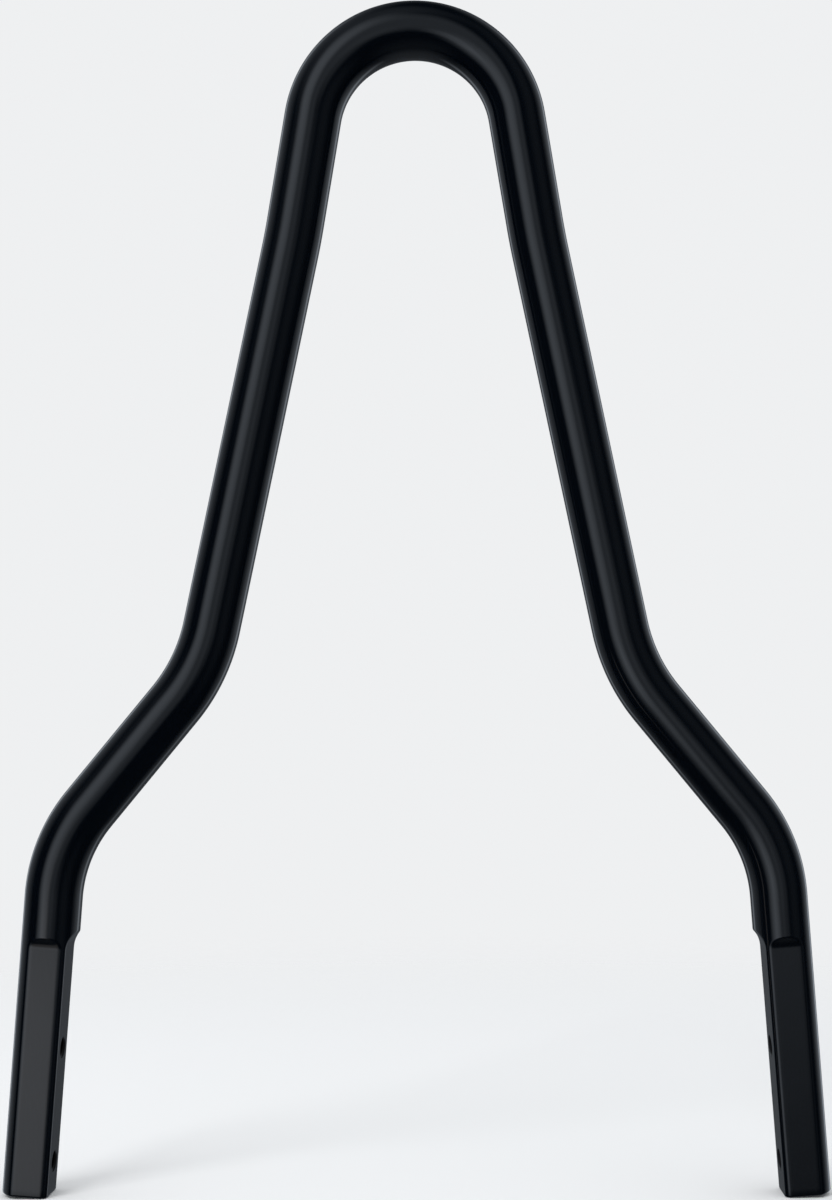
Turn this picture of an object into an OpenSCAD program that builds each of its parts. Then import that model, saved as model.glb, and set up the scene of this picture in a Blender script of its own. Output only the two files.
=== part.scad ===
// Sissy bar: one solid round steel bar, bent to a narrow arch over two spread legs.
// Each leg ends in a foot with milled flats on three sides and two blind tapped holes.
// X runs left to right, Z up, and the bar lies in the XZ plane. The origin is on the
// ground line, midway between the feet. The source is written for the right leg, and
// the left leg is its mirror image.

/* [Bar] */
// Diameter of the round bar
bar_d = 19.05; // [16:0.05:22]
// Distance between the leg centrelines at the foot ends
foot_spacing = 258; // [240:1:280]

/* [Legs] */
// Outward lean of the feet from the vertical, in degrees
foot_lean = 4.4; // [3:0.1:6]
// Height of the corner where the foot meets the slanted stretch
knee_z = 116.3; // [112:0.1:125]
// Slant of the middle stretch from the vertical, in degrees
slant_lean = 39.5; // [35:0.5:42]
// Height of the corner where the slanted stretch meets the long leg
shoulder_z = 175.4; // [170:0.1:180]
// Lean of the long leg from the vertical, in degrees
leg_lean = 11.9; // [11:0.1:13]
// Height where the leg straightens a little below the arch
neck_z = 320; // [310:1:330]
// Lean of the leg above the neck, in degrees
neck_lean = 9.5; // [8.5:0.1:10.5]

/* [Bends] */
// Centreline radius of the bend at the knee
knee_r = 52; // [40:1:60]
// Centreline radius of the bend at the shoulder
shoulder_r = 60; // [45:1:70]
// Centreline radius of the slight bend at the neck
neck_r = 250; // [150:10:400]
// Centreline radius of the arch
arch_r = 34.6; // [32:0.1:36]

/* [Feet] */
// Length of the full-depth flats, from the foot end
flat_length = 82.5; // [75:0.5:86]
// Depth of the front and back flats
face_depth = 1.6; // [1:0.1:2.5]
// Depth of the flat on the inner side
inner_depth = 2.8; // [2:0.1:3.5]
// Radius that the milling cutter leaves at the top of the front and back flats
cutter_r = 4.8; // [4:0.1:6]
// Radius that the larger cutter leaves at the top of the inner flat
inner_cutter_r = 8; // [7:0.1:9]
// Edge break around the foot end
edge_break = 0.8; // [0.4:0.1:1.2]

/* [Tapped holes] */
// Diameter of the wall of a hole tapped 5/16-18 UNC
hole_d = 6.53; // [6:0.01:7]
// Depth of the full diameter, from the inner flat
hole_depth = 12.7; // [10:0.1:13]
// Height of the lower hole above the foot end, along the foot
hole_low = 11.3; // [9:0.1:14]
// Distance between the two holes of a foot
hole_pitch = 38.1; // [35:0.1:45]
// Depth of the chamfer at the hole's mouth
mouth_chamfer = 0.4; // [0.2:0.1:0.8]

/* [Hidden] */
$fn = 96;
bar_r = bar_d / 2;
hole_r = hole_d / 2;
// Cone that a drill with a 118 degree point leaves at the bottom of a hole
drill_tip = hole_r / tan(118 / 2);
// Reach of a cutter past the bar, and radius of the ring that trims a foot end
cut = 40;
trim_r = 20;
// The bar loses a hair of its radius where it is drawn round a bend, and each straight
// stretch runs a little way into the bends at its ends
draw_loss = 0.01;
bent_r = bar_r - draw_loss;
lap = 0.5;
// Run-out of a drill or trimming tool beyond the face that it enters
run_out = 1;
gloss_black = [0.05, 0.055, 0.06];

// Unit vector along the bar, leaning the given angle inward as it rises
function along(lean) = [-sin(lean), cos(lean)];

// Centreline point on the same straight at a new height
function climb(from, lean, z) = [from[0] - tan(lean) * (z - from[1]), z];

// Length that a bend takes from each of its two straights
function setback(r, turn) = r * tan(abs(turn) / 2);

// The foot end is square to the bar, and its lowest corner stands at z = 0
foot_end = [foot_spacing / 2, (bar_r - inner_depth - edge_break) * sin(foot_lean)];
knee = climb(foot_end, foot_lean, knee_z);
shoulder = climb(knee, slant_lean, shoulder_z);
neck = climb(shoulder, leg_lean, neck_z);
// The arch touches both necks: its centre lies on the middle plane
arch_z = neck[1] + (neck[0] * cos(neck_lean) - arch_r) / sin(neck_lean);
arch_start = [arch_r * cos(neck_lean), arch_z + arch_r * sin(neck_lean)];

knee_back = setback(knee_r, slant_lean - foot_lean);
shoulder_back = setback(shoulder_r, slant_lean - leg_lean);
neck_back = setback(neck_r, leg_lean - neck_lean);

// Straight stretch of bar between two centreline points, with a lap at each end
module straight(from, to) {
    run = to - from;
    translate([from[0], 0, from[1]])
        rotate([0, atan2(run[0], run[1]), 0])
            translate([0, 0, -lap])
                cylinder(r = bar_r, h = norm(run) + 2 * lap);
}

// Bend that starts at a point, leans as given there and turns by the given angle.
// A positive turn leans further inward and a negative one straightens up.
module bend(start, lean, turn, r) {
    side = turn > 0 ? 1 : -1;
    first = turn > 0 ? 0 : 180 + turn;
    translate([start[0], 0, start[1]])
        rotate([0, -lean, 0])
            translate([-side * r, 0, 0])
                rotate([90, 0, 0])
                    rotate([0, 0, first])
                        rotate_extrude(angle = abs(turn))
                            translate([r, 0])
                                circle(r = bent_r);
}

// Right leg, from the foot end up to the arch
module leg() {
    knee_in = knee - knee_back * along(foot_lean);
    knee_out = knee + knee_back * along(slant_lean);
    shoulder_in = shoulder - shoulder_back * along(slant_lean);
    shoulder_out = shoulder + shoulder_back * along(leg_lean);
    neck_in = neck - neck_back * along(leg_lean);
    neck_out = neck + neck_back * along(neck_lean);
    straight(foot_end, knee_in);
    bend(knee_in, foot_lean, slant_lean - foot_lean, knee_r);
    straight(knee_out, shoulder_in);
    bend(shoulder_in, slant_lean, leg_lean - slant_lean, shoulder_r);
    straight(shoulder_out, neck_in);
    bend(neck_in, leg_lean, neck_lean - leg_lean, neck_r);
    straight(neck_out, arch_start);
}

// Arch that joins the two legs
module arch() {
    translate([0, 0, arch_z])
        rotate([90, 0, 0])
            rotate([0, 0, neck_lean])
                rotate_extrude(angle = 180 - 2 * neck_lean)
                    translate([arch_r, 0])
                        circle(r = bent_r);
}

// Frame of the right foot: Z up along the bar, and X outward
module at_foot() {
    translate([foot_end[0], 0, foot_end[1]])
        rotate([0, -foot_lean, 0])
            children();
}

// Cutter pass that leaves a flat at the given distance from the axis, on the X side.
// Its top end keeps the round of the cutter.
module flat_cut(face, r) {
    translate([face, -cut / 2, -cut])
        cube([cut, cut, cut + flat_length]);
    translate([face + r, -cut / 2, flat_length])
        rotate([-90, 0, 0])
            cylinder(r = r, h = cut);
}

// Broken edge between the foot end and a flat at the given distance from the axis
module end_cut(face) {
    translate([face - edge_break, -cut / 2, 0])
        rotate([0, 45, 0])
            cube([cut, cut, cut]);
}

// Blind tapped hole seen from its mouth on the X side of the foot
module tapped_hole(face, height) {
    translate([face, 0, height])
        rotate([0, -90, 0]) {
            translate([0, 0, -run_out])
                cylinder(r = hole_r, h = hole_depth + run_out);
            translate([0, 0, hole_depth])
                cylinder(r1 = hole_r, r2 = 0, h = drill_tip);
            translate([0, 0, -mouth_chamfer])
                cylinder(r1 = hole_r + 2 * mouth_chamfer, r2 = hole_r, h = 2 * mouth_chamfer);
        }
}

// Everything that is cut from the right foot
module foot_cuts() {
    face = bar_r - face_depth;
    inner = bar_r - inner_depth;
    for (flat = [[90, face, cutter_r], [-90, face, cutter_r], [180, inner, inner_cutter_r]])
        rotate([0, 0, flat[0]]) {
            flat_cut(flat[1], flat[2]);
            end_cut(flat[1]);
        }
    for (i = [0, 1])
        rotate([0, 0, 180])
            tapped_hole(inner, hole_low + i * hole_pitch);
    // Square end with a broken edge on its round side
    difference() {
        translate([0, 0, -run_out])
            cylinder(r = trim_r, h = run_out + 2 * edge_break);
        cylinder(r1 = bar_r - edge_break, r2 = bar_r + edge_break, h = 2 * edge_break);
    }
}

module half_bar() {
    difference() {
        leg();
        at_foot() foot_cuts();
    }
}

// The whole bar
module bar() {
    color(gloss_black)
        union() {
            arch();
            half_bar();
            mirror([1, 0, 0]) half_bar();
        }
}

bar();
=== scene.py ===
"""A gloss black sissy bar: one round steel bar bent to a narrow arch over two spread legs.

Metres throughout. X runs left to right, Z up, and the bar lies in the XZ plane. The bar's
surface is worked out for the right half, from the foot end to the top of the arch, and
mirrored.
"""

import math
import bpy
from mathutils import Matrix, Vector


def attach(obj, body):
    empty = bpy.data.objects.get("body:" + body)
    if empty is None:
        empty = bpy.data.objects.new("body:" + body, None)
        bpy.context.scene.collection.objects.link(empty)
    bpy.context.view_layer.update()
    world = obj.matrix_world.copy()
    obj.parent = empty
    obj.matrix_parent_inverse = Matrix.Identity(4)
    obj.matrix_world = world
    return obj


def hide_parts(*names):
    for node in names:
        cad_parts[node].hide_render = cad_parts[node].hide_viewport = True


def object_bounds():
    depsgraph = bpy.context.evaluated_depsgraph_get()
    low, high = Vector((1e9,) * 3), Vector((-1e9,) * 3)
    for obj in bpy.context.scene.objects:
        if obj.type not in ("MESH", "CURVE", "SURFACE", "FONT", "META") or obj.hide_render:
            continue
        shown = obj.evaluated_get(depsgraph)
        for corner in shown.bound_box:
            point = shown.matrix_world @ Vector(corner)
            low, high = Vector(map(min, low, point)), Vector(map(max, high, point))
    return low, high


bl_info = {
    "name": "Sissy Bar",
    "version": (1, 0, 0),
    "blender": (4, 5, 0),
    "location": "View3D > Sidebar > Sissy Bar",
    "description": "Builds a bent round sissy bar with milled and tapped feet",
    "category": "Add Mesh",
}

import bmesh
import bpy
import numpy as np
from bpy.props import FloatProperty, FloatVectorProperty, IntProperty, PointerProperty
from mathutils import Euler, Vector

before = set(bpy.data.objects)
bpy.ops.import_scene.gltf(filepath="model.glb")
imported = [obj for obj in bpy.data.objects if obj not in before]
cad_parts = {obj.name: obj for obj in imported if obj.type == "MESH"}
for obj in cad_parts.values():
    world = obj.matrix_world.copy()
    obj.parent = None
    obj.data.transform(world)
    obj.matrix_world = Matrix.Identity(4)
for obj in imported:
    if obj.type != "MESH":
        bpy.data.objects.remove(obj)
CAD_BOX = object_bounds()
BAR_NODE = "bar"
MM = 0.001

# Points round the bar's section, and steps in which their spacing is summed up
SECTION_POINTS = 132
SECTION_STEPS = 7200
# How much closer the points stand at a flat's edge, and over which angle
EDGE_CROWDING = 2.2
EDGE_SPREAD = math.radians(3.5)
# Half the angle that a hole's block of rings takes round the section
BLOCK_ANGLE = math.radians(36.5)
# Spacing of the rings along a bend and along a straight, and the fewest for either
BEND_STEP = 1.2 * MM
STRAIGHT_STEP = 4 * MM
FEWEST_RINGS = 5
# Rings that close the foot end, as shares of its outline
CAP_SHARES = (0.25, 0.55, 0.85)
# Rings between the rim of a hole's block and the mouth, as shares of the way to the rim
RIM_SHARES = (0.6, 0.3, 0.1, 0.03, 0.0)
# Rings on the mouth's chamfer, as shares of its depth, and rings on the threaded wall
CHAMFER_SHARES = (0.1, 0.4, 0.7, 1.0)
WALL_RINGS = 73
# Rings on the drill's cone, as shares of the hole's radius, and the angle of its point
CONE_SHARES = (0.9, 0.6, 0.3)
DRILL_POINT = math.radians(118)
# Flat share of the thread's crest and root, and turns by which it ends above the cone
THREAD_LAND = 0.12
LAST_TURNS = 1.5
# Distance within which two places along the bar are one
SAME_PLACE = 1e-9
# Points round the floor's rim, and share of its radius at which it starts to fade
FLOOR_POINTS = 64
FLOOR_FADE = 0.35
# Shares of the card's width or height, from its middle, where its light fades and ends
CARD_FADE = 0.25
CARD_END = 0.75


def length(name, description, default):
    """A length property, given in millimetres and kept in metres."""
    return FloatProperty(
        name=name, description=description, default=default * MM, min=0, unit="LENGTH", precision=5
    )


def angle(name, description, default):
    """An angle property, given in degrees and kept in radians."""
    return FloatProperty(
        name=name, description=description, default=math.radians(default), subtype="ANGLE"
    )


def amount(name, description, default, low=0.0, high=1.0):
    """A plain number property with its range."""
    return FloatProperty(name=name, description=description, default=default, min=low, max=high)


def colour(name, description, default):
    """A linear RGB colour property."""
    return FloatVectorProperty(
        name=name, description=description, default=default, subtype="COLOR", min=0, max=1
    )


class BarSizes(bpy.types.PropertyGroup):
    """Driving dimensions of the bent bar and its feet"""

    bar_diameter: length("Bar diameter", "Diameter of the round bar", 19.05)
    foot_spacing: length("Foot spacing", "Distance between the centrelines at the feet", 258)
    foot_lean: angle("Foot lean", "Outward lean of the feet from the vertical", 4.4)
    knee_height: length("Knee height", "Height of the corner between foot and slant", 116.3)
    slant_lean: angle("Slant lean", "Slant of the middle stretch from the vertical", 39.5)
    shoulder_height: length("Shoulder height", "Height of the corner below the leg", 175.4)
    leg_lean: angle("Leg lean", "Lean of the long leg from the vertical", 11.9)
    neck_height: length("Neck height", "Height where the leg straightens a little", 320)
    neck_lean: angle("Neck lean", "Lean of the leg above the neck", 9.5)
    knee_radius: length("Knee radius", "Centreline radius of the knee bend", 52)
    shoulder_radius: length("Shoulder radius", "Centreline radius of the shoulder bend", 60)
    neck_radius: length("Neck radius", "Centreline radius of the bend at the neck", 250)
    arch_radius: length("Arch radius", "Centreline radius of the arch", 34.6)
    flat_length: length("Flat length", "Length of the full-depth flats", 82.5)
    face_depth: length("Face depth", "Depth of the front and back flats", 1.6)
    inner_depth: length("Inner depth", "Depth of the flat on the inner side", 2.8)
    cutter_radius: length("Cutter radius", "Radius left at the top of the front flat", 4.8)
    inner_cutter_radius: length("Inner cutter", "Radius left at the top of the inner flat", 8)
    edge_round: length("Edge round", "Radius of the broken edge at the foot end", 0.8)
    corner_blend: length("Corner blend", "Width over which paint softens a flat's edge", 0.55)
    hole_diameter: length("Hole diameter", "Inside diameter of the thread", 6.53)
    hole_depth: length("Hole depth", "Depth of the full diameter", 12.7)
    hole_low: length("Low hole", "Height of the lower hole along the foot", 11.3)
    hole_pitch: length("Hole pitch", "Distance between the two holes of a foot", 38.1)
    mouth_chamfer: length("Mouth chamfer", "Depth of the chamfer at a hole's mouth", 0.4)
    thread_pitch: length("Thread pitch", "Distance between the turns of the thread", 1.411)
    thread_depth: length("Thread depth", "Depth of the thread's groove", 0.65)


class CoatLook(bpy.types.PropertyGroup):
    """Finish of the gloss black coat"""

    black: colour("Black", "Colour of the coat", (0.0004, 0.0012, 0.0026))
    thread_colour: colour("Thread", "Colour inside the tapped holes", (0.008, 0.008, 0.009))
    roughness: amount("Roughness", "Roughness of the coat on the round bar", 0.09)
    flat_roughness: amount("Flat roughness", "Roughness of the coat on the milled flats", 0.16)
    peel_size: length("Peel size", "Width of the dimples in the coat", 1.6)
    peel_depth: length("Peel depth", "Depth of the dimples in the coat", 0.006)
    wave_size: length("Wave size", "Width of the slow waves in the coat", 9)
    wave_height: amount("Wave height", "Height of the waves, in peel depths", 3.0, 0, 10)
    mark_size: length("Mark size", "Spacing of the milling marks under the coat", 0.5)
    cloud: amount("Cloud", "Change of roughness from patch to patch", 0.06)
    thread_roughness: amount("Thread roughness", "Roughness added in the thread", 0.25)
    thread_metal: amount("Thread metal", "How metallic the thread is", 0.6)


class StudioSetup(bpy.types.PropertyGroup):
    """Camera, light and floor"""

    image_height: IntProperty(name="Image height", description="Pixels down", default=1200)
    pixels_per_mm: amount("Scale", "Pixels to a millimetre at the bar", 2.986, 1, 10)
    camera_distance: length("Camera distance", "Distance from the bar's plane", 650)
    camera_side: length("Camera side", "Place of the camera to the right of the middle", 25)
    camera_height: length("Camera height", "Height of the camera above the floor", 150)
    camera_roll: angle("Camera roll", "Turn of the camera about its line of sight", 0.1)
    centre_side: length("Centre side", "Place across the bar at the middle of the image", 0.0)
    centre_height: length("Centre height", "Height on the bar at the middle of the image", 198.7)
    backdrop: colour("Backdrop", "Colour behind the bar", (0.86, 0.87, 0.88))
    panel_tint: colour("Panel tint", "Colour of the light in the gloss", (0.82, 0.9, 1.0))
    room_glow: amount("Room glow", "Light in the gloss outside the panels", 0.015)
    panel_level: amount("Panel level", "Strength of the light in the gloss", 1.1, 0, 5)
    card_tint: colour("Card tint", "Colour of the card by the left foot", (1.0, 0.94, 0.91))
    card_level: amount("Card level", "Strength of the card's light", 0.46, 0, 5)
    card_width: length("Card width", "Width at which the card's light has halved", 50)
    card_height: length("Card height", "Height at which the card's light has halved", 150)
    card_distance: length("Card distance", "Distance of the card from the bar's plane", 120)
    card_side: length("Card side", "Place of the card to the left of the middle", 157)
    card_middle: length("Card middle", "Height of the middle of the card", 19)
    card_lean: angle("Card lean", "Lean of the card's top towards the bar", 17)
    lamp_azimuth: angle("Lamp azimuth", "Turn of the lamp from the camera's side", -35)
    lamp_elevation: angle("Lamp elevation", "Angle of the lamp above the bar's middle", 40)
    lamp_distance: length("Lamp distance", "Distance of the lamp from the bar's middle", 1600)
    lamp_side: length("Lamp side", "Length of the square lamp's side", 700)
    lamp_power: amount("Lamp power", "Power of the lamp in watts", 9, 0, 100)
    floor_radius: length("Floor radius", "Radius at which the floor has faded out", 900)


# Shape of the bar


def bar_stretches(size):
    """Straights and bends of the right half, from the foot end to the top of the arch.

    Corner points follow one another along the leans. A bend takes radius times the
    tangent of half its turn from each of its two straights. The arch touches the neck
    straight and is centred on the middle plane. Each stretch is (length, turn).
    """
    radius = size.bar_diameter / 2
    inner_face = radius - size.inner_depth

    def climb(start, lean, height):
        return np.array([start[0] - math.tan(lean) * (height - start[1]), height])

    foot_height = (inner_face - size.edge_round) * math.sin(size.foot_lean)
    foot = np.array([size.foot_spacing / 2, foot_height])
    knee = climb(foot, size.foot_lean, size.knee_height)
    shoulder = climb(knee, size.slant_lean, size.shoulder_height)
    neck = climb(shoulder, size.leg_lean, size.neck_height)
    drop = neck[0] * math.cos(size.neck_lean) - size.arch_radius
    arch_height = neck[1] + drop / math.sin(size.neck_lean)
    arch_start = np.array(
        [
            size.arch_radius * math.cos(size.neck_lean),
            arch_height + size.arch_radius * math.sin(size.neck_lean),
        ]
    )
    turns = [
        size.slant_lean - size.foot_lean,
        size.leg_lean - size.slant_lean,
        size.neck_lean - size.leg_lean,
    ]
    radii = [size.knee_radius, size.shoulder_radius, size.neck_radius]
    setbacks = [r * math.tan(abs(t) / 2) for r, t in zip(radii, turns)]
    corners = [foot, knee, shoulder, neck, arch_start]
    gaps = [np.linalg.norm(b - a) for a, b in zip(corners, corners[1:])]
    before = [0.0] + setbacks
    after = setbacks + [0.0]
    stretches = []
    for i, gap in enumerate(gaps):
        stretches.append((gap - before[i] - after[i], 0.0))
        if i < len(turns):
            stretches.append((radii[i] * abs(turns[i]), turns[i]))
    top_turn = math.pi / 2 - size.neck_lean
    stretches.append((size.arch_radius * top_turn, top_turn))
    return foot, stretches


def place_along(size, distance):
    """Centreline points and leans at the given distances from the foot end.

    Within a stretch of curvature k the lean is its first lean plus k times the distance,
    and the point is the integral of (-sin lean, cos lean).
    """
    foot, stretches = bar_stretches(size)
    start, lean, begun = foot, size.foot_lean, 0.0
    points = np.zeros((len(distance), 2))
    leans = np.zeros(len(distance))
    for extent, turn in stretches:
        here = distance >= begun - SAME_PLACE
        run = np.append(distance[here] - begun, extent)
        if turn:
            bend = turn / extent
            across = (np.cos(lean + bend * run) - math.cos(lean)) / bend
            up = (np.sin(lean + bend * run) - math.sin(lean)) / bend
        else:
            bend = 0.0
            across = -math.sin(lean) * run
            up = math.cos(lean) * run
        path = start + np.stack([across, up], axis=1)
        points[here] = path[:-1]
        leans[here] = lean + bend * run[:-1]
        start, lean, begun = path[-1], lean + turn, begun + extent
    return points, leans


def hole_heights(size):
    """Heights of the two tapped holes along the foot."""
    return [size.hole_low, size.hole_low + size.hole_pitch]


def ring_distances(size, half_block):
    """Distances of the rings from the foot end, close together where the form changes.

    The broken edge takes equal angles of its round. Above it each stretch of the foot is
    given as its top end and its number of rings. Further up the rings follow the bends and
    straights.
    """
    edge = size.edge_round
    top = size.flat_length
    low, high = hole_heights(size)
    _, stretches = bar_stretches(size)
    ends = np.cumsum([extent for extent, _ in stretches])
    rings = [edge * (1 - np.cos(np.linspace(0, math.pi / 2, 7)))]
    start = edge
    for end, count in (
        (low - half_block, 4),
        (low + half_block, 15),
        (high - half_block, 10),
        (high + half_block, 15),
        (top - 0.5 * MM, 9),
        (top + 4.5 * MM, 26),
        (top + 7 * MM, 9),
        (ends[0], 5),
    ):
        rings.append(np.linspace(start, end, count))
        start = end
    for begun, (extent, turn) in zip(ends[:-1], stretches[1:]):
        count = max(FEWEST_RINGS, round(extent / (BEND_STEP if turn else STRAIGHT_STEP)))
        rings.append(np.linspace(begun, begun + extent, count))
    joined = np.concatenate(rings)
    return joined[np.append(True, np.diff(joined) > SAME_PLACE)]


def flat_faces(size):
    """Each flat's direction round the section, distance from the axis and cutter radius."""
    radius = size.bar_diameter / 2
    face = radius - size.face_depth
    return [
        (math.pi / 2, face, size.cutter_radius),
        (-math.pi / 2, face, size.cutter_radius),
        (math.pi, radius - size.inner_depth, size.inner_cutter_radius),
    ]


def section_angles(size, count):
    """Angles round the section, from the outer side, closer together at the flats' edges.

    The angles are spread evenly over the integral of a weight, which is one plus a bell
    curve round each of the six edges.
    """
    radius = size.bar_diameter / 2
    fine = np.linspace(0, 2 * math.pi, SECTION_STEPS, endpoint=False)
    weight = np.ones_like(fine)
    for turn, face, _ in flat_faces(size):
        spread = math.acos(face / radius)
        for edge in (turn - spread, turn + spread):
            off = (fine - edge + math.pi) % (2 * math.pi) - math.pi
            weight += EDGE_CROWDING * np.exp(-((off / EDGE_SPREAD) ** 2))
    total = np.cumsum(weight)
    total /= total[-1]
    return np.interp(np.arange(count) / count, np.append(0, total), np.append(fine, 2 * math.pi))


def soft_minimum(first, second, blend):
    """Smaller of two lengths, rounded where they differ by less than the blend."""
    overlap = np.maximum(blend - np.abs(first - second), 0) / blend
    return np.minimum(first, second) - overlap**2 * blend / 4


def section_reach(size, angles, distance):
    """Distance from the axis to the surface, for each ring and angle.

    A flat at distance h lies at h / cos(angle from the flat's direction), and turned away
    from it the flat is out of reach. Above the flat's top, h rises on the round of the
    cutter. At the foot end the bar and the flats draw in by the round of the broken edge.
    """
    radius = size.bar_diameter / 2
    out_of_reach, least_facing = 9 * radius, 0.05
    edge = size.edge_round
    below = np.clip(edge - distance, 0, edge)
    inset = edge - np.sqrt(edge**2 - below**2)
    reach = np.repeat((radius - inset)[:, None], len(angles), axis=1)
    for turn, face, cutter in flat_faces(size):
        above = np.clip(distance - size.flat_length, 0, cutter)
        lift = np.where(above < cutter, cutter - np.sqrt(cutter**2 - above**2), radius)
        facing = np.cos(angles - turn)
        level = (face + lift - inset)[:, None] / np.maximum(facing, least_facing)
        level = np.where(facing > least_facing, level, out_of_reach)
        reach = soft_minimum(reach, level, size.corner_blend)
    return reach


def flat_share(size, angles, distance, reach):
    """One where the surface is milled flat and zero where it is round.

    It is the dip below the round bar as a share of half the corner blend, held between
    zero and one, and zero on the lower half of the broken edge.
    """
    dip = (size.bar_diameter / 2 - reach) / (size.corner_blend / 2)
    return np.clip(dip, 0, 1) * (distance > size.edge_round / 2)[:, None]


def bar_surface(size, angles, distance, scale):
    """Points of the right half: the section of each ring carried along the centreline.

    A point is the centreline point, plus reach times cosine of its angle outward, plus
    reach times sine of it along Y. Scale shrinks the rings that close the foot end.
    """
    points, leans = place_along(size, distance)
    reach = section_reach(size, angles, distance)
    share = flat_share(size, angles, distance, reach)
    reach = reach * scale[:, None]
    outward = reach * np.cos(angles)
    surface = np.stack(
        [
            points[:, :1] + outward * np.cos(leans)[:, None],
            reach * np.sin(angles),
            points[:, 1:] + outward * np.sin(leans)[:, None],
        ],
        axis=-1,
    )
    return surface, share


def thread_radius(size, turn, depth):
    """Radius of the tapped hole's wall at a turn round it and a depth below the flat.

    The groove is a clipped triangle wave of depth / pitch minus turn / full turn, which is a
    right-hand thread where the turn is clockwise seen from the mouth. It runs out before the
    bottom, and the mouth keeps its chamfer.
    """
    phase = depth / size.thread_pitch - turn / (2 * math.pi)
    wave = np.abs(2 * (phase % 1) - 1)
    groove = np.clip((wave - THREAD_LAND) / (1 - 2 * THREAD_LAND), 0, 1) * size.thread_depth
    last = size.hole_depth - LAST_TURNS * size.thread_pitch
    groove = groove * np.clip((last - depth) / size.thread_pitch, 0, 1)
    mouth = size.hole_diameter / 2 + size.mouth_chamfer - depth
    return np.maximum(size.hole_diameter / 2 + groove, mouth)


def hole_rings(size, rim_across, rim_along, height, side):
    """Rings that fill a hole's block, from its rim on the flat down to the drill's cone.

    On the flat a ring runs between the mouth's circle and the block's rim. Below it the
    rings follow the thread, and then shrink on the cone of a 118 degree point. Side is one
    for the right foot and minus one for the left, which is mirrored afterwards: there the
    thread is turned the other way first, so that it ends up right-hand too.
    """
    turn = np.arctan2(rim_along - height, rim_across)
    mouth = thread_radius(size, turn * side, np.zeros_like(turn))
    rings, depths = [], []
    for share in RIM_SHARES:
        across = mouth * np.cos(turn) * (1 - share) + rim_across * share
        along = mouth * np.sin(turn) * (1 - share) + (rim_along - height) * share
        rings.append(np.stack([across, along], axis=1))
        depths.append(0.0)
    chamfer = size.mouth_chamfer
    mouth_steps = chamfer * np.array(CHAMFER_SHARES)
    wall_steps = np.linspace(chamfer, size.hole_depth, WALL_RINGS + 1)[1:]
    for depth in np.concatenate([mouth_steps, wall_steps]):
        radius = thread_radius(size, turn * side, depth)
        rings.append(np.stack([radius * np.cos(turn), radius * np.sin(turn)], axis=1))
        depths.append(depth)
    tip = size.hole_diameter / 2 / math.tan(DRILL_POINT / 2)
    for share in CONE_SHARES:
        radius = size.hole_diameter / 2 * share
        rings.append(np.stack([radius * np.cos(turn), radius * np.sin(turn)], axis=1))
        depths.append(size.hole_depth + tip * (1 - share))
    return np.array(rings), np.array(depths), size.hole_depth + tip


def in_foot(size, inward, across, along):
    """Row positions of points given in the right foot's own frame."""
    foot, _ = bar_stretches(size)
    cos, sin = math.cos(size.foot_lean), math.sin(size.foot_lean)
    return np.stack(
        [foot[0] - inward * cos - along * sin, across, foot[1] - inward * sin + along * cos],
        axis=-1,
    )


def hole_surface(size, rim_across, rim_along, height, side):
    """Points of one hole's rings in the right foot, the drill's tip last."""
    rings, depths, bottom = hole_rings(size, rim_across, rim_along, height, side)
    face = size.bar_diameter / 2 - size.inner_depth
    inward = np.repeat((face - depths)[:, None], rings.shape[1], axis=1)
    wall = in_foot(size, inward, rings[..., 0], rings[..., 1] + height)
    tip = in_foot(size, np.array([face - bottom]), np.zeros(1), np.array([height]))
    bare = np.repeat(np.clip(depths / size.mouth_chamfer, 0, 1)[:, None], rings.shape[1], axis=1)
    return wall.reshape(-1, 3), tip, bare.reshape(-1)


def loop_round(first_row, last_row, first_column, last_column):
    """Rows and columns of a block's rim, once round."""
    rows = np.arange(first_row, last_row)
    columns = np.arange(first_column, last_column)
    down, back = rows[::-1] + 1, columns[::-1] + 1
    ring_rows = np.concatenate(
        [np.full(len(columns), first_row), rows, np.full(len(columns), last_row), down]
    )
    ring_columns = np.concatenate(
        [columns, np.full(len(rows), last_column), back, np.full(len(rows), first_column)]
    )
    return ring_rows, ring_columns


def strip_faces(first, second):
    """Quads between two closed rings of vertex numbers."""
    return np.stack([first, np.roll(first, -1), np.roll(second, -1), second], axis=-1)


def fan_faces(ring, pole):
    """Triangles between a closed ring of vertex numbers and one point."""
    return np.stack([ring, np.roll(ring, -1), np.full(len(ring), pole)], axis=-1)


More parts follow.
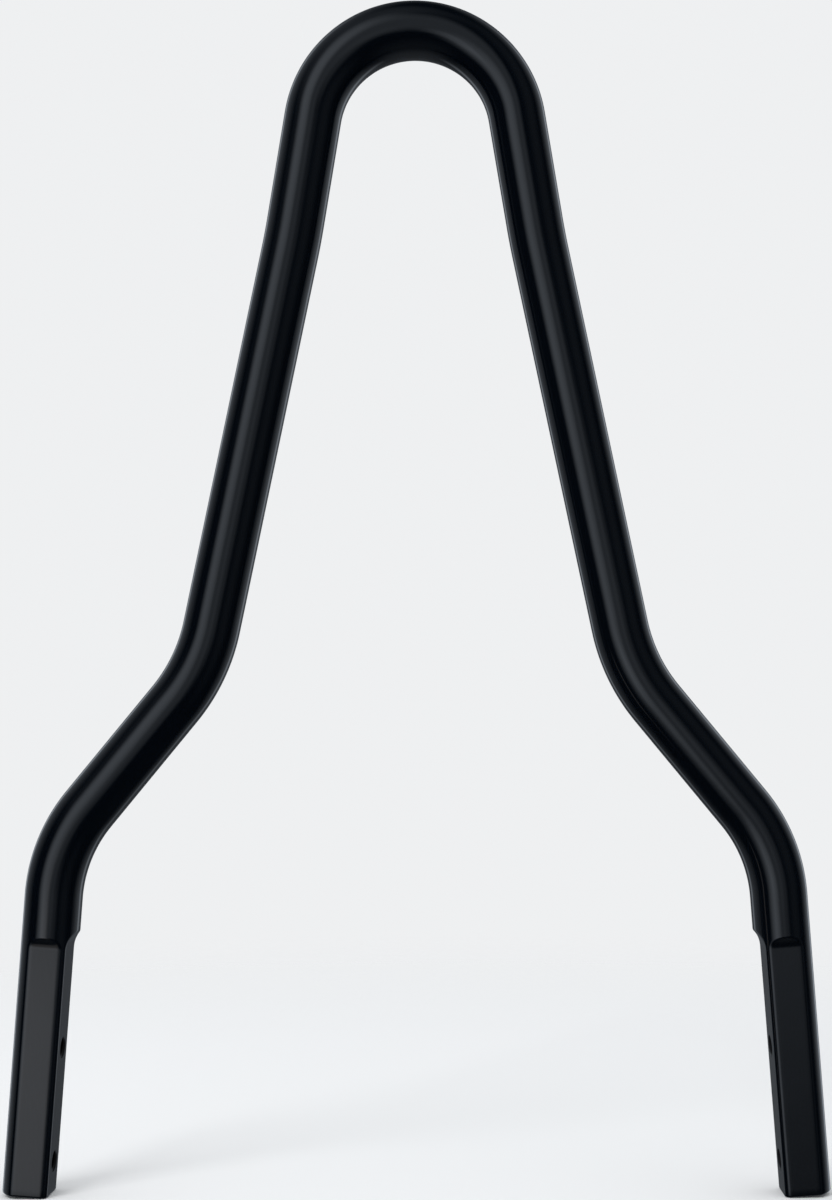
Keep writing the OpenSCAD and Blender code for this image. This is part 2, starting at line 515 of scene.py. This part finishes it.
def make_bar_mesh(size):
    """Whole surface of the bar as vertices, faces, and the flat and thread shares."""
    columns = SECTION_POINTS
    angles = section_angles(size, columns)
    near = np.abs(angles - math.pi)
    block_columns = np.flatnonzero(near <= BLOCK_ANGLE)
    first_column, last_column = block_columns[0], block_columns[-1]
    face = size.bar_diameter / 2 - size.inner_depth
    half_block = face * math.tan(near[first_column])

    along = ring_distances(size, half_block)
    distance = np.concatenate([np.zeros(len(CAP_SHARES)), along])
    scale = np.concatenate([CAP_SHARES, np.ones(len(along))])
    half, share = bar_surface(size, angles, distance, scale)
    mirror = np.array([-1.0, 1.0, 1.0])
    grid = np.concatenate([half, half[-2::-1] * mirror])
    flat = np.concatenate([share, share[-2::-1]])
    rows = len(grid)

    number = np.arange(rows * columns).reshape(rows, columns)
    vertices = [grid.reshape(-1, 3)]
    flats = [flat.reshape(-1)]
    threads = [np.zeros(rows * columns)]
    count = rows * columns
    keep = np.ones((rows - 1, columns), bool)
    quads, triangles = [], []

    foot, _ = bar_stretches(size)
    for pole_row, side in ((0, 1), (rows - 1, -1)):
        vertices.append(np.array([[side * foot[0], 0.0, foot[1]]]))
        flats.append(np.zeros(1))
        threads.append(np.zeros(1))
        triangles.append(fan_faces(number[pole_row], count))
        count += 1

    for height in hole_heights(size):
        first_row = int(np.argmin(np.abs(distance - (height - half_block))))
        last_row = int(np.argmin(np.abs(distance - (height + half_block))))
        rim_rows, rim_columns = loop_round(first_row, last_row, first_column, last_column)
        rim_across = half[rim_rows, rim_columns, 1]
        for side in (1, -1):
            wall, tip, bare = hole_surface(size, rim_across, distance[rim_rows], height, side)
            real_rows = rim_rows if side > 0 else rows - 1 - rim_rows
            top_row = first_row if side > 0 else rows - 1 - last_row
            keep[top_row : top_row + last_row - first_row, first_column:last_column] = False
            rim = number[real_rows, rim_columns]
            rings = count + np.arange(len(wall)).reshape(-1, len(rim))
            vertices += [wall * [side, 1, 1], tip * [side, 1, 1]]
            flats.append(np.ones(len(wall) + 1))
            threads.append(np.append(bare, 1.0))
            chain = np.concatenate([rim[None], rings])
            quads += [strip_faces(a, b) for a, b in zip(chain, chain[1:])]
            triangles.append(fan_faces(rings[-1], count + len(wall)))
            count += len(wall) + 1

    lower, upper = number[:-1], number[1:]
    body = np.stack([lower, np.roll(lower, -1, 1), np.roll(upper, -1, 1), upper], axis=-1)
    quads.append(body[keep])
    faces = np.concatenate(quads).tolist() + np.concatenate(triangles).tolist()
    return np.concatenate(vertices), faces, np.concatenate(flats), np.concatenate(threads)


def make_piece(name, vertices, faces, point_values):
    """Mesh object at the origin with its faces outward and its values kept as attributes."""
    mesh = bpy.data.meshes.new(name)
    mesh.from_pydata(vertices.tolist(), [], faces)
    for label, values in point_values.items():
        store = mesh.attributes.new(label, "FLOAT", "POINT")
        store.data.foreach_set("value", np.ascontiguousarray(values, dtype=np.float32))
    shell = bmesh.new()
    shell.from_mesh(mesh)
    bmesh.ops.recalc_face_normals(shell, faces=shell.faces)
    shell.to_mesh(mesh)
    shell.free()
    mesh.polygons.foreach_set("use_smooth", np.ones(len(mesh.polygons), bool))
    mesh.update()
    piece = bpy.data.objects.new(name, mesh)
    bpy.context.scene.collection.objects.link(piece)
    return piece


# Shader maths


class Number:
    """A number socket. A sum written with it, such as 1 - mask * 0.5, adds Math nodes."""

    def __init__(self, shader, socket):
        self.shader = shader
        self.socket = socket

    def math(self, operation, *values):
        """Math node of this number and the given ones."""
        node = self.shader.add("Math", {"operation": operation}, dict(enumerate((self, *values))))
        return Number(self.shader, node.outputs[0])

    def __add__(self, other):
        return self.math("ADD", other)

    def __sub__(self, other):
        return self.math("SUBTRACT", other)

    def __rsub__(self, other):
        return (self * -1).math("ADD", other)

    def __mul__(self, other):
        return self.math("MULTIPLY", other)

    def __truediv__(self, other):
        return self.math("DIVIDE", other)

    def __gt__(self, other):
        return self.math("GREATER_THAN", other)

    __radd__ = __add__
    __rmul__ = __mul__

    def size(self):
        """This number without its sign."""
        return self.math("ABSOLUTE")

    def eased(self, start, end):
        """Smooth step from 0 at the start to 1 at the end."""
        node = self.shader.add(
            "MapRange",
            {"interpolation_type": "SMOOTHSTEP"},
            {"Value": self, "From Min": start, "From Max": end},
        )
        return Number(self.shader, node.outputs["Result"])


class Shader:
    """A node tree that nodes are added to by type, settings and sockets."""

    def __init__(self, owner):
        owner.use_nodes = True
        self.tree = owner.node_tree
        self.tree.nodes.clear()

    def add(self, kind, settings, sockets):
        """Node of a type, with its settings set first and then its sockets' values or links."""
        node = self.tree.nodes.new("ShaderNode" + kind)
        for name, value in settings.items():
            setattr(node, name, value)
        for name, value in sockets.items():
            if isinstance(value, Number):
                value = value.socket
            if isinstance(value, bpy.types.NodeSocket):
                self.tree.links.new(value, node.inputs[name])
            else:
                node.inputs[name].default_value = value
        return node

    def number(self, node, output):
        """Output of a node as a number."""
        return Number(self, node.outputs[output])

    def attribute(self, name):
        """Value of a point attribute."""
        return self.number(self.add("Attribute", {"attribute_name": name}, {}), "Fac")

    def noise(self, place, size, detail):
        """Noise of the given feature size, from 0 to 1."""
        node = self.add("TexNoise", {}, {"Vector": place, "Scale": 1 / size, "Detail": detail})
        return self.number(node, "Fac")

    def blend(self, share, first, second):
        """Colour between two colours."""
        node = self.add("Mix", {"data_type": "RGBA"}, {"Factor": share, "A": first, "B": second})
        return node.outputs["Result"]


def solid(rgb):
    """Colour with full alpha."""
    return (*rgb, 1.0)


def make_coat(look):
    """Gloss black coat: dimpled and slightly wavy, duller on the flats, bare in the holes.

    The height of the bump is the dimples plus the waves, and on the flats also the milling
    marks, which are a fine noise drawn out along the foot. The roughness goes from that of
    the round bar to that of the flats, varies a little in patches, and rises in the thread.
    """
    material = bpy.data.materials.new("gloss_black_coat")
    shader = Shader(material)
    place = shader.add("TexCoord", {}, {}).outputs["Object"]
    flat = shader.attribute("flat")
    thread = shader.attribute("thread")
    peel = shader.noise(place, look.peel_size, detail=1.5)
    wave = shader.noise(place, look.wave_size, detail=0.0)
    marks = shader.add(
        "Mapping", {}, {"Vector": place, "Scale": (1.0, 1.0, look.mark_size / look.wave_size)}
    )
    mill = shader.noise(marks.outputs["Vector"], look.mark_size, detail=2.0)
    patch_size = 4 * look.wave_size
    patches = shader.noise(place, patch_size, detail=3.0)

    height = peel + wave * look.wave_height + mill * flat
    bump = shader.add("Bump", {}, {"Strength": 1.0, "Distance": look.peel_depth, "Height": height})
    roughness = look.roughness + flat * (look.flat_roughness - look.roughness)
    roughness = roughness + (patches - 0.5) * look.cloud + thread * look.thread_roughness
    base = shader.blend(thread, solid(look.black), solid(look.thread_colour))
    surface = shader.add(
        "BsdfPrincipled",
        {},
        {
            "Base Color": base,
            "Roughness": roughness,
            "Metallic": thread * look.thread_metal,
            "IOR": 1.5,
            "Normal": bump.outputs["Normal"],
        },
    )
    shader.add("OutputMaterial", {}, {"Surface": surface.outputs["BSDF"]})
    return material


# Studio


# Strength, azimuth, elevation, half width, half height and softness. Angles in degrees.
LIGHT_PANELS = {
    "main light": (1.12, -30.3, 13.7, 14.1, 33.7, 0.87),
    "front fill": (0.39, -4.1, 14.6, 14.1, 28.3, 0.57),
    "low part of the main light": (0.45, -18.9, -13.8, 10.9, 8.1, 0.66),
    "right part of the fill": (0.26, 16.1, 1.4, 9.6, 11.6, 0.85),
    "right wall": (0.08, 53.6, 21.1, 17.0, 42.2, 0.91),
    "left rim light": (0.27, -118.9, 15.6, 25.1, 49.2, 0.95),
    "right rim light": (0.38, 128.5, 11.4, 23.7, 45.7, 0.94),
    "back wall": (0.11, 176.9, 14.6, 62.1, 40.3, 0.66),
    "overhead light": (0.23, -39.7, 52.7, 22.6, 26.1, 0.82),
    "left strip behind": (0.70, -142.0, 5.0, 6.0, 40.0, 0.80),
    "right strip behind": (0.70, 142.0, 5.0, 6.0, 40.0, 0.80),
    "floor": (0.06, 0.0, -88.0, 32.0, 32.0, 0.80),
    "floor behind": (0.16, 180.0, -52.0, 30.0, 25.0, 0.80),
}


def make_floor(studio):
    """Pale floor under the feet that fades into the backdrop, and keeps the soft shadow."""
    material = bpy.data.materials.new("pale_floor")
    shader = Shader(material)
    place = shader.add("TexCoord", {}, {}).outputs["Object"]
    reach = shader.add("VectorMath", {"operation": "LENGTH"}, {0: place})
    fade_start = FLOOR_FADE * studio.floor_radius
    far = shader.number(reach, "Value").eased(fade_start, studio.floor_radius)
    matte = shader.add("BsdfDiffuse", {}, {"Color": solid(studio.backdrop)})
    clear = shader.add("BsdfTransparent", {}, {})
    mixed = shader.add(
        "MixShader", {}, {0: far, 1: matte.outputs["BSDF"], 2: clear.outputs["BSDF"]}
    )
    shader.add("OutputMaterial", {}, {"Surface": mixed.outputs["Shader"]})
    turn = np.linspace(0, 2 * math.pi, FLOOR_POINTS, endpoint=False)
    rim = np.stack([np.cos(turn), np.sin(turn), 0 * turn], axis=1) * studio.floor_radius
    vertices = np.concatenate([rim, np.zeros((1, 3))])
    faces = fan_faces(np.arange(FLOOR_POINTS), FLOOR_POINTS)
    floor = make_piece("floor", vertices, faces.tolist(), {})
    floor.data.materials.append(material)
    floor.visible_glossy = False


def direction_at(azimuth, elevation):
    """Unit vector from the bar towards an azimuth, 0 on the camera's side, and elevation."""
    return Vector(
        (
            math.sin(azimuth) * math.cos(elevation),
            -math.cos(azimuth) * math.cos(elevation),
            math.sin(elevation),
        )
    )


def soft_panel(shader, view, azimuth, elevation, half_width, half_height, softness):
    """Mask of a soft-edged panel of light seen in a direction.

    The view direction is measured along the panel's two sides and divided by its part
    towards the panel, which gives tangents of angles. The mask falls off smoothly where they
    pass those of the half width and half height, and is zero where the view turns away.
    """
    least_towards = 0.02
    ahead = direction_at(math.radians(azimuth), math.radians(elevation))
    side = Vector((math.cos(math.radians(azimuth)), math.sin(math.radians(azimuth)), 0.0))
    up = side.cross(ahead)

    def part(direction):
        node = shader.add("VectorMath", {"operation": "DOT_PRODUCT"}, {0: view, 1: direction})
        return shader.number(node, "Value")

    towards = part(ahead)
    mask = towards > least_towards
    for direction, half in ((side, half_width), (up, half_height)):
        edge = math.tan(math.radians(half))
        off = (part(direction) / towards).size()
        mask = mask * (1 - off.eased(edge * (1 - softness), edge * (1 + softness)))
    return mask


def make_world(studio):
    """Pale backdrop and even light, and the panels of light that the gloss reflects."""
    world = bpy.data.worlds.new("studio")
    bpy.context.scene.world = world
    shader = Shader(world)
    view = shader.add("TexCoord", {}, {}).outputs["Generated"]
    path = shader.add("LightPath", {}, {})
    glossy = shader.number(path, "Is Glossy Ray")
    glow = studio.room_glow
    for strength, *panel in LIGHT_PANELS.values():
        glow = strength * soft_panel(shader, view, *panel) + glow
    tint, glow = solid(studio.panel_tint), glow * studio.panel_level
    pale = shader.add("Background", {}, {"Color": solid(studio.backdrop), "Strength": 1.0})
    lit = shader.add("Background", {}, {"Color": tint, "Strength": glow})
    mixed = shader.add(
        "MixShader", {}, {0: glossy, 1: pale.outputs["Background"], 2: lit.outputs["Background"]}
    )
    shader.add("OutputWorld", {}, {"Surface": mixed.outputs["Shader"]})


def make_foot_card(studio):
    """Small card of light before the left foot, which fades smoothly towards its edges.

    Only the gloss shows it. A point higher up on it stands nearer to the bar by its rise
    times the tangent of the lean, so that the arch above sees the card edge on.
    """
    material = bpy.data.materials.new("foot_card_light")
    shader = Shader(material)
    place = shader.add("TexCoord", {}, {}).outputs["Object"]
    parts = shader.add("SeparateXYZ", {}, {"Vector": place})
    glow = studio.card_level
    for axis, middle, extent in (
        ("X", -studio.card_side, studio.card_width),
        ("Z", studio.card_middle, studio.card_height),
    ):
        off = (shader.number(parts, axis) - middle).size()
        glow = (1 - off.eased(CARD_FADE * extent, CARD_END * extent)) * glow
    lit = shader.add("Emission", {}, {"Color": solid(studio.card_tint), "Strength": glow})
    clear = shader.add("BsdfTransparent", {}, {})
    both = shader.add("AddShader", {}, {0: lit.outputs["Emission"], 1: clear.outputs["BSDF"]})
    shader.add("OutputMaterial", {}, {"Surface": both.outputs["Shader"]})
    across = CARD_END * studio.card_width * np.array([-1, 1, 1, -1])
    rise = CARD_END * studio.card_height * np.array([-1, -1, 1, 1])
    nearer = rise * math.tan(studio.card_lean)
    corners = np.stack(
        [
            across - studio.card_side,
            nearer - studio.card_distance,
            rise + studio.card_middle,
        ],
        axis=1,
    )
    card = make_piece("foot_card", corners, [[0, 1, 2, 3]], {})
    card.data.materials.append(material)
    for ray in ("camera", "diffuse", "transmission", "volume_scatter", "shadow"):
        setattr(card, "visible_" + ray, False)


def make_lamp(studio, middle):
    """Square area lamp that faces the middle of the bar, and isn't seen in its gloss."""
    lamp = bpy.data.lights.new("key_lamp", "AREA")
    lamp.energy = studio.lamp_power
    lamp.size = studio.lamp_side
    holder = bpy.data.objects.new("key_lamp", lamp)
    ahead = direction_at(studio.lamp_azimuth, studio.lamp_elevation)
    holder.location = middle + ahead * studio.lamp_distance
    holder.rotation_euler = ahead.to_track_quat("Z", "Y").to_euler()
    holder.visible_glossy = False
    bpy.context.scene.collection.objects.link(holder)


def make_camera(studio):
    """Camera square to the bar's plane, a little to the right and below the middle.

    The shift centres the bar in the image, because the camera doesn't stand opposite its
    middle. The image is taller than wide, so the sensor's width spans its height, and the
    shift is a share of its height.
    """
    camera = bpy.data.cameras.new("camera")
    camera.sensor_width = 36
    focal_pixels = studio.pixels_per_mm * studio.camera_distance / MM
    camera.lens = focal_pixels / studio.image_height * camera.sensor_width
    shift_scale = studio.pixels_per_mm / MM / studio.image_height
    camera.shift_x = (studio.centre_side - studio.camera_side) * shift_scale
    camera.shift_y = (studio.centre_height - studio.camera_height) * shift_scale
    camera.clip_start, camera.clip_end = 0.02, 50
    holder = bpy.data.objects.new("camera", camera)
    holder.location = (studio.camera_side, -studio.camera_distance, studio.camera_height)
    holder.rotation_euler = Euler((math.pi / 2, studio.camera_roll, 0))
    bpy.context.scene.collection.objects.link(holder)
    bpy.context.scene.camera = holder


# Operators and panel


class SISSYBAR_OT_bar(bpy.types.Operator):
    """Build the bent bar with its milled and tapped feet, and coat it"""

    bl_idname = "sissybar.bar"
    bl_label = "Build bar"

    def execute(self, context):
        size = context.scene.sissybar_sizes
        vertices, faces, flat, thread = make_bar_mesh(size)
        bar = make_piece("bent_bar", vertices, faces, {"flat": flat, "thread": thread})
        bar.data.materials.append(make_coat(context.scene.sissybar_coat))
        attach(bar, "root")
        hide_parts(BAR_NODE)
        return {"FINISHED"}


class SISSYBAR_OT_stage(bpy.types.Operator):
    """Set up the floor, the light and the camera"""

    bl_idname = "sissybar.stage"
    bl_label = "Set stage"

    def execute(self, context):
        studio = context.scene.sissybar_studio
        low, high = CAD_BOX
        middle = (low + high) / 2
        make_floor(studio)
        make_world(studio)
        make_foot_card(studio)
        make_lamp(studio, middle)
        make_camera(studio)
        context.scene.view_settings.view_transform = "Standard"
        return {"FINISHED"}


class SISSYBAR_PT_panel(bpy.types.Panel):
    """Steps and sizes of the sissy bar"""

    bl_label = "Sissy Bar"
    bl_idname = "SISSYBAR_PT_panel"
    bl_space_type = "VIEW_3D"
    bl_region_type = "UI"
    bl_category = "Sissy Bar"

    def draw(self, context):
        for step in STEPS:
            self.layout.operator(step.bl_idname)
        for store in SETTINGS:
            box = self.layout.box()
            group = getattr(context.scene, store)
            for name in group.bl_rna.properties.keys():
                if name not in ("rna_type", "name"):
                    box.prop(group, name)


STEPS = (SISSYBAR_OT_bar, SISSYBAR_OT_stage)
SETTINGS = {
    "sissybar_sizes": BarSizes,
    "sissybar_coat": CoatLook,
    "sissybar_studio": StudioSetup,
}


def register():
    """Register the classes and hang the settings on the scene."""
    for kind in (*SETTINGS.values(), *STEPS, SISSYBAR_PT_panel):
        bpy.utils.register_class(kind)
    for store, kind in SETTINGS.items():
        setattr(bpy.types.Scene, store, PointerProperty(type=kind))


def unregister():
    """Take the settings and classes away again."""
    for store in SETTINGS:
        delattr(bpy.types.Scene, store)
    for kind in (SISSYBAR_PT_panel, *reversed(STEPS), *reversed(SETTINGS.values())):
        bpy.utils.unregister_class(kind)


def main():
    """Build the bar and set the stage."""
    register()
    bpy.ops.sissybar.bar()
    bpy.ops.sissybar.stage()


if __name__ == "__main__":
    main()
